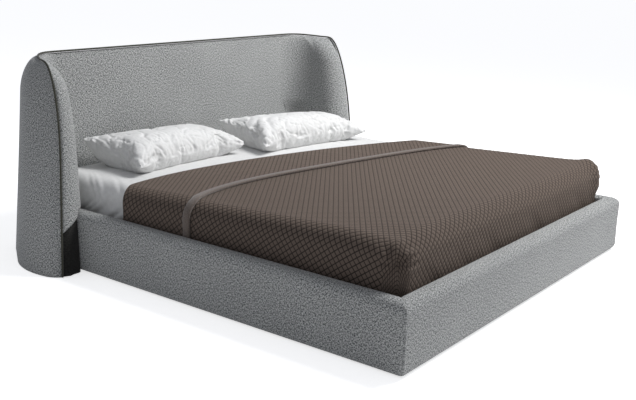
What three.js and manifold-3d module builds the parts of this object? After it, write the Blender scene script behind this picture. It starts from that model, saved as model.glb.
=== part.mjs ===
// An upholstered double bed: a low frame of padded rails, a headboard that wraps round the
// pillows as a curved shell, a slatted base, and a mattress with its bedding.
// Millimetres, +Z up, +Y towards the headboard, +X to the right seen from the foot.
// The origin is on the floor, in the middle of the bed's length and width.

import * as THREE from 'three';
import { mergeVertices } from 'three/addons/utils/BufferGeometryUtils.js';
import { RoundedBoxGeometry } from 'three/addons/geometries/RoundedBoxGeometry.js';
import Module from 'manifold-3d';

const wasm = await Module();
wasm.setup();

// ---------------------------------------------------------------- driving dimensions

const GAP = 0.3;                  // clearance between pieces that touch
const FAR = 3000;                 // reach of a cutting block past everything

const BED_LENGTH = 2331;
const FOOT_Y = -BED_LENGTH / 2;   // outer face of the foot rail
const BACK_Y = BED_LENGTH / 2;    // outer face of the headboard at the floor

const RAIL = { halfWidth: 1020, thickness: 72, height: 276, topRound: 38, bottomRound: 28, innerRound: 18 };
const BOARD = { inset: 24, thickness: 30, low: 20, high: 256 };   // timber core of each rail
const RAIL_WINDOW = { low: 60, high: 200 };                       // open inner side of a cover
const RAIL_HEAD_Y = 914.5;        // where the side rails stop, just in front of the headboard pad

const SLAT = { count: 14, width: 65, thickness: 10, halfLength: 940, firstY: -1020, lastY: 850 };
const LEDGE = { width: 55, height: 30, top: 193 };
const HEAD_RAIL = { thickness: 30, low: 62 };
const BEAM = { width: 40, height: 60 };
const LEG = { radius: 22, spacing: 560 };

const BRACKET = { arm: 80, low: 70, high: 150, thickness: 4 };
const BOLT = { headRadius: 8, headHeight: 5, shankRadius: 4 };
const BRACKET_BOLT_Z = 110;
const BRACKET_BOLT_REACH = 50;    // from the corner along each arm
const BRACKET_SHANK = 22;         // into the rail's board
const HEADBOARD_BOLT = { x: 500, z: 100, shank: 75 };

const MATTRESS = { halfWidth: 900, footY: -1072, headY: 916, low: 205, high: 398, round: 65 };
const SHEET = 2.5;                // fitted sheet, as a stretched layer
const SHEET_HEM_Z = 209;

// Coverlet: it stands out beside the mattress, is tucked in behind the rails and is fuller towards
// the foot, where its top lies higher. Its head end is folded back over itself, and a flat binding
// edges the fold. topZ is the height of its top halfway along the bed, slope its fall per length.
const QUILT = { topZ: 421, slope: 0.041, sideFullness: 42, footFullness: 12, round: 75, hemZ: 214 };
const FOLD = { thickness: 7, sideThickness: 3 };
const FOLD_LINE = [[-900, 372], [-400, 396], [100, 300], [500, 165], [900, -35]];
const BINDING_LINE = [[-900, -60], [-530, 5], [-200, -40], [340, -140], [740, -265], [900, -330]];
const BINDING_WIDTH = 36;

// A pillow's seam runs low along its front and high along its back, where it leans.
const PILLOW = {
  width: 764, depth: 400, height: 165, frontSeam: 50, backSeam: 122, pull: 0.06, columns: 12, rows: 8,
};
const PILLOW_PLACES = [
  { name: 'pillow_left', x: -362, y: 679, turn: 2 },
  { name: 'pillow_right', x: 455, y: 516, turn: -9 },
];

// Wing and headboard outline, seen from above, for the right half of the bed.
const FLOOR_TIP = new THREE.Vector2(1127, 562);      // front edge of the wing, at the floor
const TOP_TIP = new THREE.Vector2(1047, 736);        // front edge of the wing, at the top
const TOP_Z = 936;                                   // height of the wing at its front
const TOP_RISE = 12;                                 // extra height of the headboard's back
const BULGE = { x: 798, y: 701, radius: 377, start: -12, end: 33 };
const CORNER_RADIUS = 200;
const SHELL_WALL = 38;
const SHELL_TIP_WALL = 4;
const SHELL_STEEPNESS = 0.45;     // share of the inward lean reached below the rounded top
const ROUND_FROM_Z = 780;         // the shell starts to round over here

// Padding on the inside of the headboard.
const PAD = { wingX: 952, backY: 926, rollDepth: 30, roundFromZ: 815, low: 200 };
const PAD_CORNER = { besideMattress: 75, above: 140, fromZ: 455, toZ: 560 };
const PAD_CUT = { outerX: 1120, outerZ: 180, innerZ: 246 };
const FRAME_CAVITY = { halfWidth: 866, y: 976.5, high: 708 };
const PIPING = { radius: 4.5, standOff: 6.5, low: 1 };

const POST = { inner: 800, outer: 860, y: 976.8, thickness: 40, high: 700 };
const PANEL = { thickness: 12, low: 203, high: 700 };
const TOP_RAIL = { low: 620, high: 680 };
const BOTTOM_RAIL = { halfWidth: 900, low: 30, high: 150 };

// ---------------------------------------------------------------- materials

function cloth(color) {
  return new THREE.MeshStandardMaterial({ color, roughness: 0.95, metalness: 0 });
}

const greyCloth = () => cloth(0x8e908e);
const darkCloth = () => cloth(0x222120);
const pipingCloth = () => cloth(0x3c3c34);
const whiteCotton = () => cloth(0xeeeeec);
const quiltCloth = () => cloth(0x6e655f);
const bindingCloth = () => cloth(0x746a63);
const timber = () => new THREE.MeshStandardMaterial({ color: 0xc9a878, roughness: 0.6, metalness: 0 });
const steel = () => new THREE.MeshStandardMaterial({ color: 0x8b8d90, roughness: 0.4, metalness: 0.9 });

// ---------------------------------------------------------------- solids

// The walls between successive outlines of a stack, all with the same number of points.
function wallIndices(levels, count) {
  const indices = [];
  for (let level = 0; level + 1 < levels; level++) {
    for (let i = 0; i < count; i++) {
      const a = level * count + i;
      const b = level * count + (i + 1) % count;
      indices.push(a, b, b + count, a, b + count, a + count);
    }
  }
  return indices;
}

function meshOf(points, indices) {
  const geometry = new THREE.BufferGeometry();
  geometry.setAttribute('position', new THREE.Float32BufferAttribute(
    points.flatMap((p) => [p.x, p.y, p.z]), 3));
  geometry.setIndex(indices);
  return geometry;
}

// A closed solid through a stack of outlines. They run counter-clockwise seen from the far end;
// flatten maps a point to that view.
function loft(outlines, flatten) {
  const count = outlines[0].length;
  const indices = wallIndices(outlines.length, count);
  const lastStart = (outlines.length - 1) * count;
  for (const [i, j, k] of THREE.ShapeUtils.triangulateShape(outlines[0].map(flatten), [])) {
    indices.push(i, k, j);
    indices.push(lastStart + i, lastStart + j, lastStart + k);
  }
  return meshOf(outlines.flat(), indices);
}

// A closed curved wall from a stack of levels, each with an inner and an outer run of as many
// points. Its top and bottom are strips between the two runs.
function wallLoft(levels) {
  const half = levels[0].inner.length;
  const count = 2 * half;
  const indices = wallIndices(levels.length, count);
  const lastStart = (levels.length - 1) * count;
  for (let i = 0; i + 1 < half; i++) {
    const strip = [i, i + 1, count - 2 - i, count - 1 - i];
    const [a, b, c, d] = strip;
    indices.push(a, c, b, a, d, c);
    const [e, f, g, h] = strip.map((index) => lastStart + index);
    indices.push(e, f, g, e, g, h);
  }
  return meshOf(levels.flatMap(({ inner, outer }) => [...inner, ...outer.toReversed()]), indices);
}

function box(x0, x1, y0, y1, z0, z1) {
  const geometry = new THREE.BoxGeometry(Math.abs(x1 - x0), Math.abs(y1 - y0), z1 - z0);
  return geometry.translate((x0 + x1) / 2, (y0 + y1) / 2, (z0 + z1) / 2);
}

function toSolid(geometry) {
  const bare = geometry.clone();
  bare.deleteAttribute('normal');
  bare.deleteAttribute('uv');
  const merged = mergeVertices(bare, 1e-4);
  return new wasm.Manifold(new wasm.Mesh({
    numProp: 3,
    vertProperties: new Float32Array(merged.attributes.position.array),
    triVerts: new Uint32Array(merged.index.array),
  }));
}

function toGeometry(solid) {
  const mesh = solid.getMesh();
  const geometry = new THREE.BufferGeometry();
  geometry.setAttribute('position', new THREE.BufferAttribute(mesh.vertProperties, 3));
  geometry.setIndex(new THREE.BufferAttribute(mesh.triVerts, 1));
  return geometry;
}

function cut(geometry, ...tools) {
  return toGeometry(tools.reduce((solid, tool) => solid.subtract(toSolid(tool)), toSolid(geometry)));
}

function keep(geometry, ...regions) {
  return toGeometry(regions.reduce((solid, region) => solid.intersect(toSolid(region)), toSolid(geometry)));
}

function join(...geometries) {
  const [first, ...rest] = geometries.map(toSolid);
  return toGeometry(rest.reduce((solid, other) => solid.add(other), first));
}

// A block that fills a polygon given in plan, from z0 to z1.
function planBlock(points, z0, z1) {
  const outline = new THREE.Shape(points.map(([x, y]) => new THREE.Vector2(x, y)));
  return new THREE.ExtrudeGeometry(outline, { depth: z1 - z0, bevelEnabled: false }).translate(0, 0, z0);
}

const bed = new THREE.Group();

function add(name, geometry, material) {
  const mesh = new THREE.Mesh(geometry, material);
  mesh.name = name;
  geometry.computeVertexNormals();
  bed.add(mesh);
}

const SIDES = [['left', -1], ['right', 1]];

// ---------------------------------------------------------------- headboard outlines

// Quarter-ellipse rise from 0 to 1 between two heights, slow at first and vertical at the end.
function roundOver(z, from, to) {
  const share = THREE.MathUtils.clamp((z - from) / (to - from), 0, 1);
  return 1 - Math.sqrt(1 - share * share);
}

// The wing's front edge, where the piping runs, at a height.
function frontEdge(z) {
  const lean = z / TOP_Z;
  const curl = 105 * roundOver(z, 500, TOP_Z);
  return new THREE.Vector2(
    THREE.MathUtils.lerp(FLOOR_TIP.x, TOP_TIP.x, lean),
    FLOOR_TIP.y + 0.073 * z + curl);
}

// Outline of the shell at the floor, from the front edge round to the middle of the back.
function floorOutline() {
  const path = new THREE.CurvePath();
  const start = THREE.MathUtils.degToRad(BULGE.start);
  const end = THREE.MathUtils.degToRad(BULGE.end);
  const bulge = new THREE.EllipseCurve(BULGE.x, BULGE.y, BULGE.radius, BULGE.radius, start, end);
  const bulgeStart = bulge.getPoint(0);
  const bulgeEnd = bulge.getPoint(1);
  const cornerY = BACK_Y - CORNER_RADIUS;
  const straight = (cornerY + CORNER_RADIUS * Math.sin(end) - bulgeEnd.y) / Math.cos(end);
  const cornerX = bulgeEnd.x - straight * Math.sin(end) - CORNER_RADIUS * Math.cos(end);
  const corner = new THREE.EllipseCurve(cornerX, cornerY, CORNER_RADIUS, CORNER_RADIUS, end, Math.PI / 2);
  path.add(new THREE.CubicBezierCurve(
    FLOOR_TIP, FLOOR_TIP.clone().add(new THREE.Vector2(22, 18)),
    bulgeStart.clone().add(new THREE.Vector2(-5, -25)), bulgeStart));
  path.add(bulge);
  path.add(new THREE.LineCurve(bulgeEnd, corner.getPoint(0)));
  path.add(corner);
  return path;
}

// Outline of the piping along the top, over the same stretch.
function topOutline() {
  return new THREE.CubicBezierCurve(
    TOP_TIP, new THREE.Vector2(1009, 840), new THREE.Vector2(950, 927.5), new THREE.Vector2(850, 927.5));
}

// Matching points on both outlines, in order from the front edge to the middle of the back.
function pairedStations(curvedSteps, backSteps) {
  const floor = floorOutline();
  const top = topOutline();
  const stations = [];
  for (let i = 0; i <= curvedSteps; i++) {
    const share = i / curvedSteps;
    const tangent = floor.getTangentAt(share);
    stations.push({
      floor: floor.getPointAt(share),
      top: top.getPointAt(share),
      outward: new THREE.Vector2(tangent.y, -tangent.x),
      along: share * floor.getLength(),
    });
  }
  const { floor: lastFloor, top: lastTop, along } = stations.at(-1);
  for (let i = 1; i <= backSteps; i++) {
    const share = 1 - i / backSteps;
    stations.push({
      floor: new THREE.Vector2(lastFloor.x * share, lastFloor.y),
      top: new THREE.Vector2(lastTop.x * share, lastTop.y),
      outward: new THREE.Vector2(0, 1),
      along,
    });
  }
  return stations;
}

const stations = pairedStations(12, 2);

// The headboard's back stands a little higher than the front of the wings.
function lifted(x, y, z) {
  const rise = TOP_RISE * THREE.MathUtils.smoothstep(y, TOP_TIP.y, PAD.backY) * (z / TOP_Z);
  return new THREE.Vector3(x, y, z + rise);
}

// One half of the shell's outer surface at a height.
function shellOutside(z) {
  const lean = SHELL_STEEPNESS * z / TOP_Z;
  const blend = lean + (1 - lean) * roundOver(z, ROUND_FROM_Z, TOP_Z);
  const edgeShift = frontEdge(z).sub(FLOOR_TIP.clone().lerp(TOP_TIP, blend));
  return stations.map(({ floor, top, along }) => {
    const nearEdge = 1 - THREE.MathUtils.smoothstep(along, 0, 260);
    return floor.clone().lerp(top, blend).addScaledVector(edgeShift, nearEdge);
  });
}

// One half of a surface inside the shell: the outer one moved in by a share of the wall's
// thickness, which runs out towards the front edge and the top, and by a clearance.
function shellInside(z, wallShare, clearance) {
  const topShare = 1 - roundOver(z, ROUND_FROM_Z - 120, TOP_Z);
  return shellOutside(z).map((point, i) => {
    const fromEdge = THREE.MathUtils.smoothstep(stations[i].along, 0, 90);
    const wall = SHELL_TIP_WALL + (SHELL_WALL - SHELL_TIP_WALL) * fromEdge * topShare;
    return point.addScaledVector(stations[i].outward, -wall * wallShare - clearance);
  });
}

// One half of the padding's face at a height: a roll at the front edge, the wing's inner face, a
// hollow corner and the flat back. Near the top it rounds over to the piping.
function padFace(z) {
  const [rollSteps, cornerSteps, backSteps] = [4, 6, 2];
  const edge = frontEdge(z);
  const wingStart = new THREE.Vector2(PAD.wingX, edge.y + 85);
  const roll = new THREE.CubicBezierCurve(
    edge.clone().add(new THREE.Vector2(-SHELL_TIP_WALL, 0)),
    edge.clone().add(new THREE.Vector2(-12, -PAD.rollDepth)),
    new THREE.Vector2(PAD.wingX, edge.y - PAD.rollDepth * 0.6), wingStart);
  const radius = THREE.MathUtils.lerp(PAD_CORNER.besideMattress, PAD_CORNER.above,
    THREE.MathUtils.smoothstep(z, PAD_CORNER.fromZ, PAD_CORNER.toZ));
  const centre = new THREE.Vector2(PAD.wingX - radius, PAD.backY - radius);
  const corner = new THREE.EllipseCurve(centre.x, centre.y, radius, radius, 0, Math.PI / 2);
  const points = roll.getPoints(rollSteps);
  const middle = new THREE.Vector2(PAD.wingX, Math.max(wingStart.y + 2, centre.y - 2));
  points.push(middle);
  points.push(...corner.getPoints(cornerSteps).map((p) => new THREE.Vector2(p.x, Math.max(p.y, middle.y))));
  for (let i = 1; i <= backSteps; i++) {
    points.push(new THREE.Vector2(centre.x * (1 - i / backSteps), PAD.backY));
  }
  const top = topOutline();
  const over = roundOver(z, PAD.roundFromZ, TOP_Z + 2) * 0.9;
  return points.map((point, i) => {
    const share = Math.min(1, i / (rollSteps + 1 + cornerSteps));
    const target = share < 1 ? top.getPointAt(share) : new THREE.Vector2(point.x, TOP_TIP.y + 191.5);
    return point.clone().lerp(target, over);
  });
}

// Both halves joined into one run from the left front edge round to the right one.
function mirrored(half) {
  const left = half.map((p) => new THREE.Vector2(-p.x, p.y));
  return [...left, ...half.slice(0, -1).reverse()];
}

function wallLevel(outer, inner, z) {
  const raise = (run) => mirrored(run).map((p) => lifted(p.x, p.y, z));
  return { outer: raise(outer), inner: raise(inner) };
}

// ---------------------------------------------------------------- headboard

const LEVELS = [0, 250, 455, 560, 680, 780, 840, 880, 908, 925, 933, TOP_Z];

function headboardShell() {
  return wallLoft(LEVELS.map((z) => wallLevel(shellOutside(z), shellInside(z, 1, 0), z)));
}

// Moves the first point of a run out past the shell's front edge.
function pastFrontEdge(run) {
  const { outward } = stations[0];
  const forwards = new THREE.Vector2(outward.y, -outward.x);
  return [run[0].clone().addScaledVector(forwards, 4 * GAP), ...run.slice(1)];
}

// Everything between the shell and the padding's face, down to the floor.
function padBody() {
  const reach = 5;
  const beyondShell = (z) => shellOutside(z).map((p, i) => p.addScaledVector(stations[i].outward, SHELL_WALL));
  const shellSpace = wallLoft([-reach, ...LEVELS, TOP_Z + reach].map(
    (z) => wallLevel(pastFrontEdge(beyondShell(z)), pastFrontEdge(shellInside(z, 1, 2 * GAP)), z)));
  const body = wallLoft(LEVELS.map((z) => wallLevel(shellInside(z, 0.5, 0), padFace(z), z)));
  return cut(body, shellSpace);
}

// Which way the piping stands off the front edge: forwards low down, upwards along the top.
function pipingDirection(z) {
  const step = 1;
  const below = frontEdge(Math.max(0, z - step));
  const above = frontEdge(Math.min(TOP_Z, z + step));
  return new THREE.Vector3(0.7 * step, -2 * step, above.y - below.y).normalize();
}

// The piping follows the front edges and the top, as one length from floor to floor.
function pipingPath() {
  const rise = [PIPING.low, ...LEVELS.slice(1, -1)].map((z) => {
    const edge = frontEdge(z);
    return new THREE.Vector3(edge.x, edge.y, z).addScaledVector(pipingDirection(z), PIPING.standOff);
  });
  const up = new THREE.Vector3(0, 0, PIPING.standOff);
  const over = topOutline().getSpacedPoints(6).map((p) => lifted(p.x, p.y, TOP_Z).add(up));
  const half = [...rise, ...over];
  const left = half.map((p) => new THREE.Vector3(-p.x, p.y, p.z));
  const path = new THREE.CatmullRomCurve3([...left, ...half.reverse()], false, 'centripetal');
  path.getUtoTmapping = (u) => u;   // its steps crowd together where its points do
  return path;
}

function piping() {
  const profile = new THREE.Shape();
  profile.absarc(0, 0, PIPING.radius, 0, 2 * Math.PI);
  const path = pipingPath();
  return new THREE.ExtrudeGeometry(profile, {
    steps: 2 * (path.points.length - 1), extrudePath: path, curveSegments: 4, bevelEnabled: false });
}

// A wedge under the slanted lower edge of one wing's padding, raised by a clearance.
function underWing(side, clearance) {
  const slope = (PAD_CUT.innerZ - PAD_CUT.outerZ) / (PAD_CUT.outerX - RAIL.halfWidth);
  const heightAt = (x) => PAD_CUT.outerZ + slope * (PAD_CUT.outerX - x) + clearance;
  const profile = [
    new THREE.Vector2(RAIL.halfWidth + GAP, -10),
    new THREE.Vector2(1300, -10),
    new THREE.Vector2(1300, heightAt(1300)),
    new THREE.Vector2(RAIL.halfWidth + GAP, heightAt(RAIL.halfWidth + GAP)),
  ];
  const at = (y) => profile.map((p) => new THREE.Vector3(side * p.x, y, p.y));
  const order = side > 0 ? [at(PAD.backY), at(400)] : [at(400), at(PAD.backY)];
  return loft(order, (p) => new THREE.Vector2(Math.abs(p.x), p.z));
}

function buildHeadboard() {
  const body = padBody();
  const railSpace = box(-RAIL.halfWidth - 2 * GAP, RAIL.halfWidth + 2 * GAP, 0, PAD.backY, -10,
    RAIL.height + 2 * GAP);
  const underBack = box(-FAR, FAR, PAD.backY - 1, FAR, -10, PAD.low);
  const cavity = box(-FRAME_CAVITY.halfWidth, FRAME_CAVITY.halfWidth, FRAME_CAVITY.y, FAR, -10,
    FRAME_CAVITY.high);
  const wedges = SIDES.map(([, side]) => underWing(side, GAP));
  add('headboard_shell', headboardShell(), greyCloth());
  add('headboard_pad', cut(body, railSpace, underBack, cavity, ...wedges), greyCloth());
  add('headboard_piping', piping(), pipingCloth());
  for (const [name, side] of SIDES) {
    const zone = box(side * (RAIL.halfWidth + 3 * GAP), side * FAR, 0, PAD.backY - 2, 0, RAIL.height);
    add(`wing_lining_${name}`, keep(body, zone, underWing(side, -GAP)), darkCloth());
  }
}

function buildHeadboardFrame() {
  const postBack = POST.y + POST.thickness;
  for (const [name, side] of SIDES) {
    add(`headboard_post_${name}`, box(side * POST.inner, side * POST.outer, POST.y, postBack, 0, POST.high),
      timber());
  }
  const reach = POST.inner - GAP;
  const panelBack = POST.y + PANEL.thickness;
  add('headboard_panel', box(-reach, reach, POST.y, panelBack, PANEL.low, PANEL.high), timber());
  add('headboard_top_rail', box(-reach, reach, panelBack + GAP, postBack, TOP_RAIL.low, TOP_RAIL.high),
    timber());
  const bottomRail = box(-BOTTOM_RAIL.halfWidth, BOTTOM_RAIL.halfWidth, RAIL_HEAD_Y + GAP, POST.y - GAP,
    BOTTOM_RAIL.low, BOTTOM_RAIL.high);
  add('headboard_bottom_rail', cut(bottomRail, ...headboardBolts(GAP).map((bolt) => bolt.shape)), timber());
}

// ---------------------------------------------------------------- bolts

// A bolt with its head's underside at the origin and its shank along +Z.
function bolt(shankLength, clearance) {
  const head = BOLT.headRadius + clearance;
  const shank = BOLT.shankRadius + clearance;
  const profile = [[0, -BOLT.headHeight], [head, -BOLT.headHeight], [head, 0], [shank, 0],
    [shank, shankLength + clearance], [0, shankLength + clearance]];
  return new THREE.LatheGeometry(profile.map(([r, z]) => new THREE.Vector2(r, z)), 8).rotateX(Math.PI / 2);
}

// Places a bolt so that its shank points along a direction.
function placedBolt(shankLength, clearance, position, direction) {
  const turn = new THREE.Quaternion().setFromUnitVectors(new THREE.Vector3(0, 0, 1), direction);
  return bolt(shankLength, clearance).applyQuaternion(turn).translate(position.x, position.y, position.z);
}

function headboardBolts(clearance) {
  const y = RAIL_HEAD_Y - HEAD_RAIL.thickness - GAP;
  return SIDES.map(([name, side]) => ({
    name: `headboard_bolt_${name}`,
    shape: placedBolt(HEADBOARD_BOLT.shank, clearance,
      new THREE.Vector3(side * HEADBOARD_BOLT.x, y, HEADBOARD_BOLT.z), new THREE.Vector3(0, 1, 0)),
  }));
}

// The four inner corners of the base, where an angle bracket joins two boards.
const INNER_X = RAIL.halfWidth - BOARD.inset - BOARD.thickness;
const INNER_FOOT_Y = FOOT_Y + BOARD.inset + BOARD.thickness;
const INNER_HEAD_Y = RAIL_HEAD_Y - HEAD_RAIL.thickness;
const CORNERS = SIDES.flatMap(([name, side]) => [
  { name: `foot_${name}`, x: side * INNER_X, y: INNER_FOOT_Y, sideways: side, lengthways: -1 },
  { name: `head_${name}`, x: side * INNER_X, y: INNER_HEAD_Y, sideways: side, lengthways: 1 },
]);

// Each bracket has one bolt into the side board and one into the board across the end.
function bracketBolts(corner, clearance) {
  const offset = BRACKET.thickness + 2 * GAP;
  const sideBolt = new THREE.Vector3(
    corner.x - corner.sideways * offset, corner.y - corner.lengthways * BRACKET_BOLT_REACH, BRACKET_BOLT_Z);
  const endBolt = new THREE.Vector3(
    corner.x - corner.sideways * BRACKET_BOLT_REACH, corner.y - corner.lengthways * offset, BRACKET_BOLT_Z);
  return [
    placedBolt(BRACKET_SHANK, clearance, sideBolt, new THREE.Vector3(corner.sideways, 0, 0)),
    placedBolt(BRACKET_SHANK, clearance, endBolt, new THREE.Vector3(0, corner.lengthways, 0)),
  ];
}

const boltHoles = CORNERS.flatMap((corner) => bracketBolts(corner, GAP));

function buildBrackets() {
  for (const corner of CORNERS) {
    const x = corner.x - corner.sideways * GAP;
    const y = corner.y - corner.lengthways * GAP;
    const farX = x - corner.sideways * BRACKET.arm;
    const farY = y - corner.lengthways * BRACKET.arm;
    const angle = join(
      box(x, x - corner.sideways * BRACKET.thickness, y, farY, BRACKET.low, BRACKET.high),
      box(x, farX, y, y - corner.lengthways * BRACKET.thickness, BRACKET.low, BRACKET.high));
    add(`corner_bracket_${corner.name}`, cut(angle, ...bracketBolts(corner, GAP)), steel());
    bracketBolts(corner, 0).forEach((shape, i) => {
      add(`corner_bolt_${corner.name}_${i === 0 ? 'side' : 'end'}`, shape, steel());
    });
  }
  for (const { name, shape } of headboardBolts(0)) {
    add(name, shape, steel());
  }
}

// ---------------------------------------------------------------- rails

// Padded cover of a rail in section: depth from the outer face, and height. It wraps the board
// and leaves its inner side open between the two edges of the window.
function coverProfile() {
  const { thickness, height, topRound, bottomRound, innerRound } = RAIL;
  const inner = BOARD.inset + BOARD.thickness + GAP;
  const outer = BOARD.inset - GAP;
  const shape = new THREE.Shape();
  shape.moveTo(thickness, RAIL_WINDOW.high);
  shape.absarc(thickness - innerRound, height - innerRound, innerRound, 0, Math.PI / 2, false);
  shape.absarc(topRound, height - topRound, topRound, Math.PI / 2, Math.PI, false);
  shape.absarc(bottomRound, bottomRound, bottomRound, Math.PI, Math.PI * 1.5, false);
  shape.lineTo(thickness, 0);
  shape.lineTo(thickness, RAIL_WINDOW.low);
  shape.lineTo(inner, RAIL_WINDOW.low);
  shape.lineTo(inner, BOARD.low - GAP);
  shape.lineTo(outer, BOARD.low - GAP);
  shape.lineTo(outer, BOARD.high + GAP);
  shape.lineTo(inner, BOARD.high + GAP);
  shape.lineTo(inner, RAIL_WINDOW.high);
  return shape.getPoints(6);
}

function boardProfile() {
  const inner = BOARD.inset + BOARD.thickness;
  return [[BOARD.inset, BOARD.low], [BOARD.inset, BOARD.high], [inner, BOARD.high], [inner, BOARD.low]]
    .map(([depth, z]) => new THREE.Vector2(depth, z)).reverse();
}

// A side rail runs from the mitred foot corner to the headboard.
function sideRail(profile, side) {
  const at = (yAt) => profile.map((p) => new THREE.Vector3(side * (RAIL.halfWidth - p.x), yAt(p.x), p.y));
  const foot = at((depth) => FOOT_Y + depth + GAP);
  const head = at(() => RAIL_HEAD_Y);
  const flatten = (p) => new THREE.Vector2(RAIL.halfWidth - Math.abs(p.x), p.z);
  return side > 0 ? loft([foot, head], flatten) : loft([head, foot], flatten);
}

// The foot rail is mitred at both ends.
function footRail(profile) {
  const at = (side) => profile.map(
    (p) => new THREE.Vector3(side * (RAIL.halfWidth - p.x - GAP), FOOT_Y + p.x, p.y));
  return loft([at(-1), at(1)], (p) => new THREE.Vector2(p.y - FOOT_Y, p.z));
}

function buildRails() {
  for (const [name, side] of SIDES) {
    add(`side_rail_board_${name}`, cut(sideRail(boardProfile(), side), ...boltHoles), timber());
    add(`side_rail_cover_${name}`, sideRail(coverProfile(), side), greyCloth());
  }
  add('foot_rail_board', cut(footRail(boardProfile()), ...boltHoles), timber());
  add('foot_rail_cover', footRail(coverProfile()), greyCloth());
  const headRail = box(-INNER_X + GAP, INNER_X - GAP, INNER_HEAD_Y, RAIL_HEAD_Y, HEAD_RAIL.low, LEDGE.top);
  const holes = [...boltHoles, ...headboardBolts(GAP).map((each) => each.shape)];
  add('head_rail', cut(headRail, ...holes), timber());
}

// ---------------------------------------------------------------- slatted base

function buildSlatBase() {
  const ledgeLow = LEDGE.top - LEDGE.height;
  for (const [name, side] of SIDES) {
    add(`slat_ledge_${name}`, box(side * (INNER_X - GAP), side * (INNER_X - LEDGE.width),
      INNER_FOOT_Y + GAP, INNER_HEAD_Y - GAP, ledgeLow, LEDGE.top), timber());
  }
  const beamLow = LEDGE.top - BEAM.height;
  add('centre_beam', box(-BEAM.width / 2, BEAM.width / 2, INNER_FOOT_Y + BRACKET.thickness + 2 * GAP,
    INNER_HEAD_Y - BRACKET.thickness - 2 * GAP, beamLow, LEDGE.top), timber());
  const hangers = [['foot', INNER_FOOT_Y, 1], ['head', INNER_HEAD_Y, -1]];
  for (const [name, wall, inward] of hangers) {
    const face = wall + inward * GAP;
    const lip = face + inward * 45;
    add(`beam_hanger_${name}`, join(
      box(-BEAM.width, BEAM.width, face, face + inward * BRACKET.thickness, beamLow - 30, beamLow + 40),
      box(-BEAM.width / 2, BEAM.width / 2, face, lip, beamLow - GAP - BRACKET.thickness, beamLow - GAP)),
    steel());
  }
  for (const [name, place] of [['foot', -1], ['middle', 0], ['head', 1]]) {
    const leg = new THREE.CylinderGeometry(LEG.radius, LEG.radius, beamLow - GAP, 16).rotateX(Math.PI / 2);
    add(`centre_leg_${name}`, leg.translate(0, place * LEG.spacing, (beamLow - GAP) / 2), timber());
  }
  const pitch = (SLAT.lastY - SLAT.firstY) / (SLAT.count - 1);
  for (let i = 0; i < SLAT.count; i++) {
    const y = SLAT.firstY + i * pitch;
    add(`slat_${String(i + 1).padStart(2, '0')}`, box(-SLAT.halfLength, SLAT.halfLength,
      y - SLAT.width / 2, y + SLAT.width / 2, LEDGE.top + GAP, LEDGE.top + GAP + SLAT.thickness), timber());
  }
}

// ---------------------------------------------------------------- mattress and bedding

// The mattress's block grown by an amount at its sides, its foot and its top, without its
// underside: it reaches on below the mattress.
function bedBlock(sides, foot, top, round) {
  const low = MATTRESS.low - 2 * round;
  const length = MATTRESS.headY - MATTRESS.footY + foot + sides;
  const height = MATTRESS.high + top - low;
  const geometry = new RoundedBoxGeometry(2 * (MATTRESS.halfWidth + sides), length, height, 3, round);
  return geometry.translate(0, (MATTRESS.headY + sides + MATTRESS.footY - foot) / 2, low + height / 2);
}

// Everything on the foot side of a line that runs across the bed, above a height.
function footwardsOf(line, shift, low) {
  const points = line.map(([x, y]) => [x, y - shift]);
  const [first, last] = [points[0], points.at(-1)];
  const round = [[-FAR, first[1]], [-FAR, -FAR], [FAR, -FAR], [FAR, last[1]]];
  return planBlock([...round, ...points.reverse()], low, FAR);
}

function buildMattress() {
  const { halfWidth, footY, headY, low, high, round } = MATTRESS;
  const mattress = new RoundedBoxGeometry(2 * halfWidth, headY - footY, high - low, 3, round);
  add('mattress', mattress.translate(0, (headY + footY) / 2, (high + low) / 2), whiteCotton());
  const above = box(-FAR, FAR, -FAR, FAR, SHEET_HEM_Z, FAR);
  const sheet = cut(bedBlock(SHEET, SHEET, SHEET, round + SHEET), bedBlock(GAP, GAP, GAP, round));
  add('fitted_sheet', keep(sheet, above), whiteCotton());
}

// The block that the coverlet's outer face follows, its top falling evenly towards the head.
function fullBlock(extraSides, extraTop) {
  const geometry = bedBlock(QUILT.sideFullness + extraSides, QUILT.footFullness,
    QUILT.topZ - MATTRESS.high + extraTop, QUILT.round);
  return geometry.applyMatrix4(new THREE.Matrix4().makeShear(0, 0, 0, -QUILT.slope, 0, 0));
}

function buildCoverlet() {
  const under = SHEET + GAP;
  const inside = bedBlock(under, under, under, MATTRESS.round);
  const outside = fullBlock(0, 0);
  const foldedOutside = fullBlock(FOLD.sideThickness, FOLD.thickness);
  const overFold = fullBlock(GAP, GAP);
  const beforeBinding = footwardsOf(BINDING_LINE, -BINDING_WIDTH, 0);
  const spread = footwardsOf(FOLD_LINE, 0, QUILT.hemZ);
  const single = keep(cut(outside, inside), spread);
  const folded = keep(cut(foldedOutside, inside, beforeBinding), spread);
  add('coverlet', join(single, folded), quiltCloth());
  const aboveHem = footwardsOf(BINDING_LINE, GAP - BINDING_WIDTH, QUILT.hemZ);
  const strip = cut(aboveHem, footwardsOf(BINDING_LINE, 0, 0));
  add('coverlet_binding', keep(cut(foldedOutside, overFold), strip), bindingCloth());
}

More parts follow.
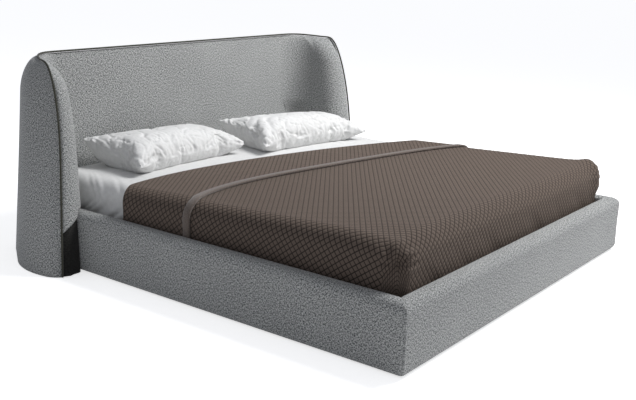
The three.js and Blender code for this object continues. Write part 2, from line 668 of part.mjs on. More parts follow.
// A stuffed pillow: two crowned faces that meet in a seam, its sides pulled in between four
// pointed corners, and flat underneath where it rests.
function pillow({ width, depth, height, frontSeam, backSeam, pull, columns, rows }) {
  const points = [];
  const indexOf = new Map();
  const pointAt = (i, j, face) => {
    const onSeam = i === 0 || j === 0 || i === columns || j === rows;
    const key = `${i} ${j} ${onSeam ? 'seam' : face}`;
    if (!indexOf.has(key)) {
      const u = 2 * i / columns - 1;
      const v = 2 * j / rows - 1;
      const crown = Math.sqrt((1 - u * u) * (1 - v * v));
      const seam = frontSeam + (backSeam - frontSeam) * (v + 1) / 2;
      const offSeam = face === 'top' ? (height - seam) * crown : -seam * Math.min(1, 1.8 * crown);
      const x = width / 2 * u * (1 - pull * (1 - v * v));
      const y = depth / 2 * v * (1 - pull * (1 - u * u));
      indexOf.set(key, points.length / 3);
      points.push(x, y, onSeam ? seam : seam + offSeam);
    }
    return indexOf.get(key);
  };
  const indices = [];
  for (let i = 0; i < columns; i++) {
    for (let j = 0; j < rows; j++) {
      for (const face of ['top', 'bottom']) {
        const corners = [pointAt(i, j, face), pointAt(i + 1, j, face), pointAt(i + 1, j + 1, face),
          pointAt(i, j + 1, face)];
        const [a, b, c, d] = face === 'top' ? corners : corners.reverse();
        indices.push(a, b, c, a, c, d);
      }
    }
  }
  const geometry = new THREE.BufferGeometry();
  geometry.setAttribute('position', new THREE.Float32BufferAttribute(points, 3));
  geometry.setIndex(indices);
  return geometry;
}

function buildPillows() {
  const restZ = MATTRESS.high + SHEET + 2 * GAP;
  for (const { name, x, y, turn } of PILLOW_PLACES) {
    const shape = pillow(PILLOW).rotateZ(THREE.MathUtils.degToRad(turn)).translate(x, y, restZ);
    add(name, shape, whiteCotton());
  }
}

buildHeadboard();
buildHeadboardFrame();
buildRails();
buildBrackets();
buildSlatBase();
buildMattress();
buildCoverlet();
buildPillows();

export default bed;
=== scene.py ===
"""An upholstered double bed with a headboard that wraps round the pillows, dressed for the night.

The script follows the bed as it is put together: headboard, rails, base, mattress, bedding.
"""

import math

import bmesh
import bpy
import numpy as np
from mathutils import Matrix, Vector


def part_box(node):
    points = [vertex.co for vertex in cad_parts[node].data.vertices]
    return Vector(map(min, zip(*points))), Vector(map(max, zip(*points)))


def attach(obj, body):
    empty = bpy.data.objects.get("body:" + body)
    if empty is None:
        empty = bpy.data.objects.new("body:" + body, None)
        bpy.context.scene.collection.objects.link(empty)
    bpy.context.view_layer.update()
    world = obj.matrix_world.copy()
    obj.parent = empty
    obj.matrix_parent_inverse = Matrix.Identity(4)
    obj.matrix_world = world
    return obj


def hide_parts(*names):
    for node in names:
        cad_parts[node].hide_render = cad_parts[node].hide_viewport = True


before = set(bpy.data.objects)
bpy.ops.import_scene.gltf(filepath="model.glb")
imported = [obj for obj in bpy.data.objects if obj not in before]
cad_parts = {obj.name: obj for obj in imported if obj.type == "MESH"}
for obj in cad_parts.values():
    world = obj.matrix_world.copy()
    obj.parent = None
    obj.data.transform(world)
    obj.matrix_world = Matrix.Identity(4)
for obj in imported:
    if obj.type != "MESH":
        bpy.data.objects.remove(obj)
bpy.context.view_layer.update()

# ---------------------------------------------------------------- headboard shell
# The outer side of the headboard: bent plywood under 10 mm of foam, covered in a thick woven
# melange cloth that is pulled tight and stapled underneath. It starts at the floor, bulges
# round the corners and rounds over to the piping along the top.

TOP_Z = 0.936                          # height of a wing at its front
TOP_RISE = 0.012                       # extra height of the headboard's back
BACK_Y = 1.1655                        # outer face at the floor
FLOOR_TIP = np.array([1.127, 0.562])   # front edge of the wing at the floor, and at the top
TOP_TIP = np.array([1.047, 0.736])
BULGE_CENTRE = np.array([0.798, 0.701])
BULGE_RADIUS = 0.377
BULGE_ANGLES = np.radians([-12, 33])
CORNER_RADIUS = 0.200
SHELL_STEEPNESS = 0.45
ROUND_FROM_Z = 0.780
SHELL_WALL = 0.038
TIP_WALL = 0.004
FRONT_CURL = 0.105                     # how far the front edge curls back near the top
FRONT_CURL_FROM_Z = 0.500
FRONT_SLOPE = 0.073


def smooth(value, low, high):
    """A soft step from 0 to 1 between two values."""
    share = np.clip((np.asarray(value, float) - low) / (high - low), 0, 1)
    return share * share * (3 - 2 * share)


def round_over(value, low, high):
    """A quarter-ellipse rise from 0 to 1: slow at first, upright at the end."""
    share = np.clip((np.asarray(value, float) - low) / (high - low), 0, 1)
    return 1 - np.sqrt(1 - share * share)


def bezier(a, b, c, d, steps):
    """Points on a cubic curve with these four control points."""
    t = np.linspace(0, 1, steps)[:, None]
    s = 1 - t
    return s**3 * np.array(a) + 3 * s * s * t * np.array(b) + 3 * s * t * t * np.array(c) + t**3 * np.array(d)


def arc(centre, radius, start, end, steps):
    angle = np.linspace(start, end, steps)
    return np.array(centre) + radius * np.stack([np.cos(angle), np.sin(angle)], 1)


def even(points, count):
    """The same line with its points evenly spaced."""
    points = np.asarray(points, float)
    step = np.linalg.norm(np.diff(points, axis=0), axis=1)
    keep = np.concatenate([[True], step > 1e-9])
    points = points[keep]
    along = np.concatenate([[0], np.cumsum(np.linalg.norm(np.diff(points, axis=0), axis=1))])
    wanted = np.linspace(0, along[-1], count)
    return np.stack([np.interp(wanted, along, points[:, k]) for k in range(points.shape[1])], 1)


def front_edge(z):
    """Where the wing's front edge and its piping run at a height."""
    lean = z / TOP_Z
    curl = FRONT_CURL * round_over(z, FRONT_CURL_FROM_Z, TOP_Z)
    x = FLOOR_TIP[0] + (TOP_TIP[0] - FLOOR_TIP[0]) * lean
    return np.array([x, FLOOR_TIP[1] + FRONT_SLOPE * z + curl])


def floor_outline(steps):
    """The shell at the floor, from the front edge round to the start of the flat back."""
    start, end = BULGE_ANGLES
    bulge = arc(BULGE_CENTRE, BULGE_RADIUS, start, end, 60)
    corner_y = BACK_Y - CORNER_RADIUS
    straight = (corner_y + CORNER_RADIUS * math.sin(end) - bulge[-1][1]) / math.cos(end)
    corner_x = bulge[-1][0] - straight * math.sin(end) - CORNER_RADIUS * math.cos(end)
    corner = arc((corner_x, corner_y), CORNER_RADIUS, end, math.pi / 2, 50)
    front = bezier(FLOOR_TIP, FLOOR_TIP + (0.022, 0.018), bulge[0] + (-0.005, -0.025), bulge[0], 30)
    return even(np.concatenate([front, bulge, corner]), steps)


def top_outline(steps):
    """The line of the piping along the top, over the same stretch."""
    return even(bezier(TOP_TIP, (1.009, 0.840), (0.950, 0.9275), (0.850, 0.9275), 120), steps)


CURVED, FLAT = 90, 60                  # columns round one wing, and to the middle of the back
floor_run = floor_outline(CURVED)
top_run = top_outline(CURVED)
flat_share = np.linspace(1, 0, FLAT + 1)[1:, None]
floor_run = np.concatenate([floor_run, floor_run[-1] * np.concatenate([flat_share, flat_share**0], 1)])
top_run = np.concatenate([top_run, top_run[-1] * np.concatenate([flat_share, flat_share**0], 1)])
run_length = np.linalg.norm(np.diff(floor_run[:CURVED], axis=0), axis=1).sum()
run_along = np.minimum(np.arange(CURVED + FLAT) / (CURVED - 1), 1) * run_length
tangent = np.gradient(floor_run, axis=0)
outward = np.stack([tangent[:, 1], -tangent[:, 0]], 1)
outward /= np.linalg.norm(outward, axis=1)[:, None]


def shell_outside(z):
    lean = SHELL_STEEPNESS * z / TOP_Z
    mix = lean + (1 - lean) * round_over(z, ROUND_FROM_Z, TOP_Z)
    shift = front_edge(z) - (FLOOR_TIP + (TOP_TIP - FLOOR_TIP) * mix)
    near_edge = 1 - smooth(run_along, 0, 0.260)
    return floor_run + (top_run - floor_run) * mix + shift * near_edge[:, None]


def shell_inside(z):
    thin = 1 - round_over(z, ROUND_FROM_Z - 0.120, TOP_Z)
    wall = TIP_WALL + (SHELL_WALL - TIP_WALL) * smooth(run_along, 0, 0.090) * thin
    return shell_outside(z) - outward * wall[:, None]


def lifted(run, z):
    """A run in plan, mirrored into a whole one and set at a height; the back stands higher."""
    whole = np.concatenate([run * (-1, 1), run[-2::-1]])
    rise = TOP_RISE * smooth(whole[:, 1], TOP_TIP[1], 0.926) * z / TOP_Z
    return np.concatenate([whole, (z + rise)[:, None]], 1)


def mesh_piece(name, points, faces, uv=None):
    """A smooth mesh object; uv gives each point its place on the cloth, in metres."""
    mesh = bpy.data.meshes.new(name)
    mesh.from_pydata([tuple(p) for p in np.asarray(points, float)], [], faces)
    if uv is not None:
        layer = mesh.uv_layers.new(name="cloth")
        corner_point = np.zeros(len(mesh.loops), int)
        mesh.loops.foreach_get("vertex_index", corner_point)
        layer.data.foreach_set("uv", np.asarray(uv, np.float32)[corner_point].ravel())
    mesh.validate()
    mesh.update()
    mesh.polygons.foreach_set("use_smooth", [True] * len(mesh.polygons))
    piece = bpy.data.objects.new(name, mesh)
    bpy.context.scene.collection.objects.link(piece)
    return piece


def grid_faces(rows, columns, wrap_rows=False, wrap_columns=False, first=0):
    faces = []
    for i in range(rows if wrap_rows else rows - 1):
        for j in range(columns if wrap_columns else columns - 1):
            a, b = i * columns + j, i * columns + (j + 1) % columns
            c, d = (i + 1) % rows * columns + (j + 1) % columns, (i + 1) % rows * columns + j
            faces.append((first + a, first + b, first + c, first + d))
    return faces


def along_grid(grid, axis):
    """How far each point of a grid is along its row or column."""
    step = np.linalg.norm(np.diff(grid, axis=axis), axis=2)
    start = np.zeros_like(np.take(step, [0], axis=axis))
    return np.concatenate([start, np.cumsum(step, axis=axis)], axis=axis)


def face_outwards(piece):
    """Turns every face of a closed piece to face out of it."""
    shape = bmesh.new()
    shape.from_mesh(piece.data)
    bmesh.ops.recalc_face_normals(shape, faces=shape.faces)
    shape.to_mesh(piece.data)
    shape.free()
    piece.data.update()


def srgb(code):
    """An sRGB hex colour as the linear RGBA that a shader takes."""
    channels = [int(code[i:i + 2], 16) / 255 for i in (1, 3, 5)]
    linear = [c / 12.92 if c <= 0.04045 else ((c + 0.055) / 1.055) ** 2.4 for c in channels]
    return (*linear, 1.0)


def node(tree, kind, settings=None, **inputs):
    """Adds a node with its settings and its inputs, which are values or other nodes' outputs."""
    made = tree.nodes.new(kind)
    for name, value in (settings or {}).items():
        setattr(made, name, value)
    for name, value in inputs.items():
        place = int(name[1:]) if name[0] == "_" and name[1:].isdigit() else name.replace("_", " ")
        if isinstance(value, bpy.types.NodeSocket):
            tree.links.new(value, made.inputs[place])
        else:
            made.inputs[place].default_value = value
    return made


def material_of(name, roughness, specular=0.3, sheen=0.0, metallic=0.0):
    """A new material with its Principled shader set; returns the material, its node tree and the shader."""
    material = bpy.data.materials.new(name)
    material.use_nodes = True
    tree = material.node_tree
    shader = tree.nodes["Principled BSDF"]
    shader.inputs["Roughness"].default_value = roughness
    shader.inputs["Specular IOR Level"].default_value = specular
    shader.inputs["Sheen Weight"].default_value = sheen
    shader.inputs["Sheen Roughness"].default_value = 0.5
    shader.inputs["Metallic"].default_value = metallic
    return material, tree, shader


FLECK_LOW, FLECK_HIGH = 0.87, 1.13     # noise levels that give a dark and a light yarn


def melange_cloth(name, dark, light, sheen=0.25):
    """Thick woven melange: yarns spun from dark and light wool, so that the cloth looks flecked.

    The real yarns are about 1.4 mm thick. They are drawn at 3.2 mm, so that the flecks show.
    """
    material, tree, shader = material_of(name, 0.92, 0.2, sheen)
    place = node(tree, "ShaderNodeUVMap", {"uv_map": "cloth"}).outputs["UV"]
    yarn = 0.0032
    warp = node(tree, "ShaderNodeMapping", Vector=place, Scale=(1 / yarn, 1 / (2.4 * yarn), 1))
    weft = node(tree, "ShaderNodeMapping", Vector=place, Scale=(1 / (2.4 * yarn), 1 / yarn, 1))
    flecks = [node(tree, "ShaderNodeTexNoise", Vector=m.outputs["Vector"], Scale=1.0, Detail=2.0,
                   Roughness=0.7).outputs["Fac"] for m in (warp, weft)]
    both = node(tree, "ShaderNodeMath", {"operation": "ADD"}, _0=flecks[0], _1=flecks[1])
    broad = node(tree, "ShaderNodeTexNoise", Vector=place, Scale=3.0, Detail=2.0).outputs["Fac"]
    drift = node(tree, "ShaderNodeMath", {"operation": "MULTIPLY_ADD"}, _0=broad, _1=0.05, _2=-0.025)
    fleck = node(tree, "ShaderNodeMath", {"operation": "ADD"}, _0=both.outputs[0], _1=drift.outputs[0])
    spread = node(tree, "ShaderNodeMapRange", _0=fleck.outputs[0], _1=FLECK_LOW, _2=FLECK_HIGH)
    colour = node(tree, "ShaderNodeMix", {"data_type": "RGBA"}, Factor=spread.outputs[0])
    colour.inputs[6].default_value = srgb(dark)
    colour.inputs[7].default_value = srgb(light)
    tree.links.new(colour.outputs[2], shader.inputs["Base Color"])
    bump = node(tree, "ShaderNodeBump", Strength=0.12, Distance=0.0007, Height=both.outputs[0])
    tree.links.new(bump.outputs["Normal"], shader.inputs["Normal"])
    return material


grey_melange = melange_cloth("grey_melange_wool", "#3f4244", "#c0c1bf")

crowding = np.sin(np.linspace(0, math.pi / 2, 46))      # rows crowd together where the top rounds over
shell_heights = np.concatenate([np.linspace(0, 0.72, 25)[:-1], 0.72 + 0.216 * crowding])
outer = np.array([lifted(shell_outside(z), z) for z in shell_heights])
inner = np.array([lifted(shell_inside(z), z) for z in shell_heights])
ring = np.concatenate([outer, inner[:, ::-1]], 1)
rows, columns = ring.shape[:2]
shell_faces = grid_faces(rows, columns, wrap_columns=True)
half = columns // 2
for end in (0, rows - 1):
    for j in range(half - 1):
        strip = [end * columns + k for k in (j, j + 1, columns - 2 - j, columns - 1 - j)]
        shell_faces.append(tuple(strip if end else strip[::-1]))
around = along_grid(ring, 1)
climb = along_grid(ring, 0)
shell_uv = np.stack([around[0][None, :].repeat(rows, 0), climb], 2).reshape(-1, 2)
shell = mesh_piece("shell_upholstery", ring.reshape(-1, 3), shell_faces, shell_uv)
face_outwards(shell)
shell.data.materials.append(grey_melange)
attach(shell, "frame")
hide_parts("headboard_shell")

# ---------------------------------------------------------------- headboard padding
# The inner side: thick foam over the frame, with a firm roll along the front edge of each wing,
# a hollow corner, and a flat back behind the pillows. It is covered in the same cloth, and its
# lower edge outside the rail is cut on a slant and turned under.

WING_X = 0.952
PAD_BACK_Y = 0.926
ROLL_DEPTH = 0.030
PAD_LOW_Z = 0.200
PAD_ROUND_FROM_Z = 0.815
CORNER_LOW, CORNER_HIGH = 0.075, 0.140
RAIL_HALF = 1.020
CUT_OUTER, CUT_INNER = (1.120, 0.180), (1.020, 0.246)    # |x| and height of the slanted edge
ROLL_COLUMNS, WING_COLUMNS, HOLLOW_COLUMNS, BACK_COLUMNS = 26, 12, 30, 40


def pad_run(z):
    """One half of the padding's face at a height, from the front edge to the middle."""
    edge = front_edge(z)
    wing_start = np.array([WING_X, edge[1] + 0.085])
    roll = bezier(edge - (TIP_WALL, 0), edge - (0.012, ROLL_DEPTH), (WING_X, edge[1] - ROLL_DEPTH * 0.6),
                  wing_start, ROLL_COLUMNS)
    radius = CORNER_LOW + (CORNER_HIGH - CORNER_LOW) * float(smooth(z, 0.455, 0.560))
    centre = np.array([WING_X - radius, PAD_BACK_Y - radius])
    hollow = arc(centre, radius, 0, math.pi / 2, HOLLOW_COLUMNS)
    hollow_start = max(centre[1], wing_start[1] + 0.004)
    hollow[:, 1] = np.maximum(hollow[:, 1], hollow_start)
    face = np.linspace(wing_start, (WING_X, hollow_start), WING_COLUMNS + 1)[1:-1]
    back_x = centre[0] * np.linspace(1, 0, BACK_COLUMNS + 1)[1:]
    back = np.stack([back_x, np.full(BACK_COLUMNS, PAD_BACK_Y)], 1)
    run = np.concatenate([roll, face, hollow, back])
    turned = len(run) - BACK_COLUMNS
    top = np.concatenate([top_outline(turned), np.stack([back[:, 0], np.full(BACK_COLUMNS, 0.9275)], 1)])
    over = 0.9 * float(round_over(z, PAD_ROUND_FROM_Z, TOP_Z + 0.002))
    return run + (top - run) * over


def pad_lowest(x, y):
    """The height of the padding's lower edge under a point in plan."""
    (outer_x, outer_z), (inner_x, inner_z) = CUT_OUTER, CUT_INNER
    slant = inner_z + (outer_z - inner_z) * (np.abs(x) - inner_x) / (outer_x - inner_x)
    return np.where(np.abs(x) > RAIL_HALF, slant, PAD_LOW_Z)


pad_heights = np.concatenate([np.linspace(0.06, 0.74, 60), np.linspace(0.74, TOP_Z, 34)[1:]])
pad_face = np.array([lifted(pad_run(z), z) for z in pad_heights])


def pad_back(z, run):
    """The padding's hidden side at a height: against the shell, and flat on the frame's panel."""
    inside = shell_inside(z) - outward * 0.0012
    turned = len(run) - BACK_COLUMNS
    curved = even(inside[:CURVED], turned)
    curved[0] = run[0]
    flat = np.stack([run[turned:, 0], np.full(BACK_COLUMNS, inside[-1][1])], 1)
    whole = np.concatenate([curved, flat])
    if z < 0.708:
        on_panel = whole[:, 0] < 0.866
        whole[on_panel, 1] = np.minimum(whole[on_panel, 1], 0.9760)
    return whole


pad_hidden = np.array([lifted(pad_back(z, pad_run(z)), z) for z in pad_heights])
low_x, low_y = pad_face[12, :, 0], pad_face[12, :, 1]
lowest = pad_lowest(low_x, low_y)
lowest = np.where((np.abs(low_x) <= RAIL_HALF + 0.001) & (low_y < 0.9245), 0.278, lowest)
shares = np.linspace(0, 1, 90) ** 0.92
pad_columns = pad_face.shape[1]
pad_grid = np.zeros((len(shares), 2 * pad_columns, 3))
for j in range(pad_columns):
    wanted = lowest[j] + (TOP_Z - lowest[j]) * shares
    for k in range(3):
        pad_grid[:, j, k] = np.interp(wanted, pad_heights, pad_face[:, j, k])
        pad_grid[:, 2 * pad_columns - 1 - j, k] = np.interp(wanted, pad_heights, pad_hidden[:, j, k])
# The lower edge is turned under: the first rows draw in towards the hidden side.
turn_under = 0.012
for i in range(7):
    height = (pad_grid[i, :pad_columns, 2] - pad_grid[0, :pad_columns, 2])[:, None]
    draw = turn_under * (1 - np.sqrt(1 - (1 - np.clip(height / turn_under, 0, 1)) ** 2))
    towards = pad_grid[i, ::-1][:pad_columns] - pad_grid[i, :pad_columns]
    reach = np.maximum(np.linalg.norm(towards, axis=1)[:, None], 1e-6)
    pad_grid[i, :pad_columns] += towards / reach * np.minimum(draw, reach * 0.4)
pad_rows, ring_columns = pad_grid.shape[:2]
pad_faces = grid_faces(pad_rows, ring_columns, wrap_columns=True)
for end in (0, pad_rows - 1):
    for j in range(pad_columns - 1):
        strip = [end * ring_columns + k for k in (j, j + 1, ring_columns - 2 - j, ring_columns - 1 - j)]
        pad_faces.append(tuple(strip if end else strip[::-1]))
middle_row = along_grid(pad_grid[40:41], 1)[0]
pad_uv = np.stack([middle_row[None, :].repeat(pad_rows, 0), pad_grid[:, :, 2]], 2).reshape(-1, 2)
padding = mesh_piece("headboard_padding", pad_grid.reshape(-1, 3), pad_faces, pad_uv)
face_outwards(padding)
padding.data.materials.append(grey_melange)
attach(padding, "frame")
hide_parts("headboard_pad")

# ---------------------------------------------------------------- piping
# A cord sewn into dark cloth, caught in the seam between shell and padding. It runs from the
# floor up one wing's front edge, along the top and down the other.

PIPING_RADIUS = 0.0045
PIPING_STAND_OFF = 0.0065


def tube(name, path, radius, sides=14):
    """A closed round tube along a line of points."""
    path = np.asarray(path, float)
    tangents = np.gradient(path, axis=0)
    tangents /= np.linalg.norm(tangents, axis=1)[:, None]
    across = np.cross(tangents[0], (0, 0, 1.0) if abs(tangents[0][2]) < 0.9 else (1.0, 0, 0))
    rings = []
    for point, along in zip(path, tangents):
        across = across - along * (across @ along)
        across /= np.linalg.norm(across)
        other = np.cross(along, across)
        angle = np.linspace(0, 2 * math.pi, sides, endpoint=False)[:, None]
        rings.append(point + radius * (np.cos(angle) * across + np.sin(angle) * other))
    grid = np.array(rings)
    faces = grid_faces(len(path), sides, wrap_columns=True)
    faces += [tuple(range(sides))[::-1], tuple((len(path) - 1) * sides + k for k in range(sides))]
    length = along_grid(grid, 0)
    girth = np.linspace(0, 2 * math.pi * radius, sides)[None, :].repeat(len(path), 0)
    piece = mesh_piece(name, grid.reshape(-1, 3), faces, np.stack([girth, length], 2).reshape(-1, 2))
    face_outwards(piece)
    return piece


def piping_point(z):
    """A point on the piping as it climbs the front edge; it stands off square to that edge."""
    step = 0.0005
    low, high = front_edge(max(0, z - step)), front_edge(min(TOP_Z, z + step))
    direction = np.array([0.35, -1, (high[1] - low[1]) / (2 * step)])
    direction /= np.linalg.norm(direction)
    return np.array([*front_edge(z), z]) + direction * PIPING_STAND_OFF


climb_heights = np.concatenate([np.linspace(0.0015, 0.5, 60)[:-1],
                                0.5 + (TOP_Z - 0.5) * np.sin(np.linspace(0, 1.5, 50))])
climb_line = np.array([piping_point(z) for z in climb_heights])
top_line = top_outline(50)
top_line = np.concatenate([top_line, [(0.5, 0.9275), (0.2, 0.9275), (0, 0.9275)]])
top_rise = TOP_RISE * smooth(top_line[:, 1], TOP_TIP[1], 0.926)
top_line = np.concatenate([top_line, (TOP_Z + PIPING_STAND_OFF + top_rise)[:, None]], 1)
half_line = np.concatenate([climb_line, top_line])
whole_line = even(np.concatenate([half_line * (-1, 1, 1), half_line[-2::-1]]), 900)
for _ in range(12):
    whole_line[1:-1] = 0.5 * whole_line[1:-1] + 0.25 * (whole_line[:-2] + whole_line[2:])
piping_cloth, tree, shader = material_of("dark_olive_cord_cloth", 0.85, 0.25, 0.2)
place = node(tree, "ShaderNodeUVMap", {"uv_map": "cloth"}).outputs["UV"]
twist = node(tree, "ShaderNodeTexNoise", Vector=place, Scale=900.0, Detail=1.0).outputs["Fac"]
shades = node(tree, "ShaderNodeMix", {"data_type": "RGBA"}, Factor=twist)
shades.inputs[6].default_value = srgb("#26261f")
shades.inputs[7].default_value = srgb("#4a4a40")
tree.links.new(shades.outputs[2], shader.inputs["Base Color"])
piping = tube("headboard_cord", whole_line, PIPING_RADIUS)
piping.data.materials.append(piping_cloth)
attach(piping, "frame")
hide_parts("headboard_piping")

# ---------------------------------------------------------------- wing linings
# Dark hard-wearing cloth over a block below each wing's padding, down to the floor. It is meant
# not to be noticed: a plain matt weave that is nearly black.


def copy_of_node(name, source, voxel, passes):
    """A new soft piece from a CAD node's shape: remeshed evenly, and its edges softened."""
    piece = bpy.data.objects.new(name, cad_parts[source].data.copy())
    bpy.context.scene.collection.objects.link(piece)
    remesh = piece.modifiers.new("even", "REMESH")
    remesh.mode = "VOXEL"
    remesh.voxel_size = voxel
    remesh.use_smooth_shade = True
    soften = piece.modifiers.new("soften", "SMOOTH")
    soften.iterations = passes
    depsgraph = bpy.context.evaluated_depsgraph_get()
    mesh = bpy.data.meshes.new_from_object(piece.evaluated_get(depsgraph))
    piece.modifiers.clear()
    piece.data = mesh
    mesh.polygons.foreach_set("use_smooth", [True] * len(mesh.polygons))
    mesh.materials.clear()
    layer = mesh.uv_layers.new(name="cloth")
    for polygon in mesh.polygons:
        for index in polygon.loop_indices:
            x, y, z = mesh.vertices[mesh.loops[index].vertex_index].co
            layer.data[index].uv = (x + y, z)
    return piece


lining_cloth = melange_cloth("black_lining_twill", "#1b1a19", "#2c2b29", 0.1)
for side in ("left", "right"):
    lining = copy_of_node(f"lining_{side}", f"wing_lining_{side}", 0.005, 4)
    lining.data.materials.append(lining_cloth)
    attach(lining, "frame")
    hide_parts(f"wing_lining_{side}")

# ---------------------------------------------------------------- rails
# Each rail is a board wrapped in foam and the same cloth. The cloth is sewn at the mitred foot
# corners, where the seam draws it in by a couple of millimetres.

RAIL_THICK, RAIL_HIGH = 0.072, 0.276
TOP_ROUND, BOTTOM_ROUND, INNER_ROUND = 0.038, 0.028, 0.018
FOOT_Y, RAIL_HEAD_Y = -1.1655, 0.9145
BOARD_OUTER, BOARD_INNER, BOARD_LOW, BOARD_HIGH = 0.0237, 0.0543, 0.0197, 0.2563
WINDOW_LOW, WINDOW_HIGH = 0.060, 0.200
SEAM_DRAW, SEAM_WIDTH = 0.0022, 0.011


def cover_profile():
    """Section of a rail's cover: depth from the outer face, and height."""
    rounds = [
        arc((RAIL_THICK - INNER_ROUND, RAIL_HIGH - INNER_ROUND), INNER_ROUND, 0, math.pi / 2, 8),
        arc((TOP_ROUND, RAIL_HIGH - TOP_ROUND), TOP_ROUND, math.pi / 2, math.pi, 14),
        np.stack([np.zeros(12), np.linspace(RAIL_HIGH - TOP_ROUND, BOTTOM_ROUND, 14)[1:-1]], 1),
        arc((BOTTOM_ROUND, BOTTOM_ROUND), BOTTOM_ROUND, math.pi, math.pi * 1.5, 10),
    ]
    hidden = [(RAIL_THICK, 0), (RAIL_THICK, WINDOW_LOW), (BOARD_INNER, WINDOW_LOW), (BOARD_INNER, BOARD_LOW),
              (BOARD_OUTER, BOARD_LOW), (BOARD_OUTER, BOARD_HIGH), (BOARD_INNER, BOARD_HIGH),
              (BOARD_INNER, WINDOW_HIGH), (RAIL_THICK, WINDOW_HIGH)]
    return np.concatenate([*rounds, hidden])


def rail_cover(name, place_at, length, mitred_start, mitred_end):
    """A cover swept along its rail; place_at gives a point from depth, height and way along."""
    profile = cover_profile()
    near = np.array([0, 0.002, 0.004, 0.007, 0.011, 0.02])
    stops = np.concatenate([near, np.linspace(0.04, length - 0.04, 60), length - near[::-1]])
    girth = np.concatenate([[0], np.cumsum(np.linalg.norm(np.diff(profile, axis=0), axis=1))])
    points, uv = [], []
    for stop in stops:
        draw = 0.0
        if mitred_start:
            draw = max(draw, 1 - stop / SEAM_WIDTH)
        if mitred_end:
            draw = max(draw, 1 - (length - stop) / SEAM_WIDTH)
        draw = SEAM_DRAW * draw ** 2
        for (depth, z), along in zip(profile, girth):
            outside = depth < TOP_ROUND or z > RAIL_HIGH - INNER_ROUND
            pull = draw if outside and not (BOARD_OUTER - 0.001 < depth < BOARD_INNER + 0.001
                                            and BOARD_LOW - 0.001 < z < BOARD_HIGH + 0.001) else 0.0
            centre = np.array([0.036, 0.138])
            direction = centre - (depth, z)
            direction /= np.linalg.norm(direction)
            depth_in, z_in = np.array([depth, z]) + direction * pull
            points.append(place_at(depth_in, z_in, stop, length))
            uv.append((stop, along))
    columns = len(profile)
    faces = grid_faces(len(stops), columns, wrap_columns=True)
    faces += [tuple(range(columns))[::-1], tuple((len(stops) - 1) * columns + k for k in range(columns))]
    cover = mesh_piece(name, points, faces, uv)
    face_outwards(cover)
    cover.data.materials.append(grey_melange)
    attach(cover, "frame")
    return cover


def side_place(side):
    def place_at(depth, z, stop, length):
        start = FOOT_Y + depth + 0.0003
        share = stop / length
        return (side * (RAIL_HALF - depth), start + (RAIL_HEAD_Y - start) * share, z)
    return place_at


def foot_place(depth, z, stop, length):
    half_here = RAIL_HALF - depth - 0.0003
    return (-half_here + 2 * half_here * stop / length, FOOT_Y + depth, z)


for side_name, side in (("left", -1), ("right", 1)):
    cover = rail_cover(f"side_cover_{side_name}", side_place(side), RAIL_HEAD_Y - FOOT_Y, True, False)
    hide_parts(f"side_rail_cover_{side_name}")
foot_cover = rail_cover("foot_cover", foot_place, 2 * RAIL_HALF, True, True)
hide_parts("foot_rail_cover")

# ---------------------------------------------------------------- timber and slats
# Boards, posts, ledges, beam and legs are planed pine with its yellow-brown growth rings drawn
# out along each board. The slats are laminated beech: paler, with short dark flecks.


def timber(name, dark, light, axis, ring=0.006):
    """Planed timber whose grain runs along one axis; the rings are a few millimetres apart."""
    material, tree, shader = material_of(name, 0.55, 0.35)
    place = node(tree, "ShaderNodeTexCoord").outputs["Object"]
    scale = [1 / ring] * 3
    scale[axis] = 1 / (ring * 40)
    drawn_out = node(tree, "ShaderNodeMapping", Vector=place, Scale=tuple(scale))
    grain = node(tree, "ShaderNodeTexNoise", Vector=drawn_out.outputs["Vector"], Scale=1.0, Detail=4.0)
    colour = node(tree, "ShaderNodeMix", {"data_type": "RGBA"}, Factor=grain.outputs["Fac"])
    colour.inputs[6].default_value = srgb(dark)
    colour.inputs[7].default_value = srgb(light)
    tree.links.new(colour.outputs[2], shader.inputs["Base Color"])
    bump = node(tree, "ShaderNodeBump", Strength=0.2, Distance=0.0005, Height=grain.outputs["Fac"])
    tree.links.new(bump.outputs["Normal"], shader.inputs["Normal"])
    return material


pine = [timber(f"planed_pine_{letter}", "#a3794a", "#dcbd8c", axis) for axis, letter in enumerate("xyz")]
beech = timber("laminated_beech", "#b98f62", "#e2c59d", 0, 0.004)
timber_names = ("headboard_p", "headboard_t", "headboard_bottom", "side_rail_board", "foot_rail_board",
                "head_rail", "slat_ledge", "centre_")
for name, cad_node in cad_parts.items():
    low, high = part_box(name)
    longest = max(range(3), key=lambda k: high[k] - low[k])
    if name.startswith("slat_") and name[5:].isdigit():
        cad_node.material_slots[0].material = beech
    elif name.startswith(timber_names) and not cad_node.hide_render:
        cad_node.material_slots[0].material = pine[longest]

# ---------------------------------------------------------------- brackets and bolts
# Pressed steel angles and cup-headed bolts, zinc plated: bright grey with a faint blotchy bloom.

zinc, tree, shader = material_of("zinc_plated_steel", 0.38, 0.5, 0.0, 1.0)
place = node(tree, "ShaderNodeTexCoord").outputs["Object"]
bloom = node(tree, "ShaderNodeTexNoise", Vector=place, Scale=180.0, Detail=3.0).outputs["Fac"]
shades = node(tree, "ShaderNodeMix", {"data_type": "RGBA"}, Factor=bloom)
shades.inputs[6].default_value = srgb("#9ea0a3")
shades.inputs[7].default_value = srgb("#c2c4c6")
tree.links.new(shades.outputs[2], shader.inputs["Base Color"])
for name, cad_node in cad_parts.items():
    if name.startswith(("corner_", "headboard_bolt", "beam_hanger")):
        cad_node.material_slots[0].material = zinc

# ---------------------------------------------------------------- mattress
# A foam mattress in a knitted ticking cover: a plain white rounded block that the sheet hides.

MATTRESS_HALF, MATTRESS_FOOT, MATTRESS_HEAD = 0.900, -1.072, 0.916
MATTRESS_LOW, MATTRESS_HIGH = 0.205, 0.398
EDGE_ROUND = 0.065


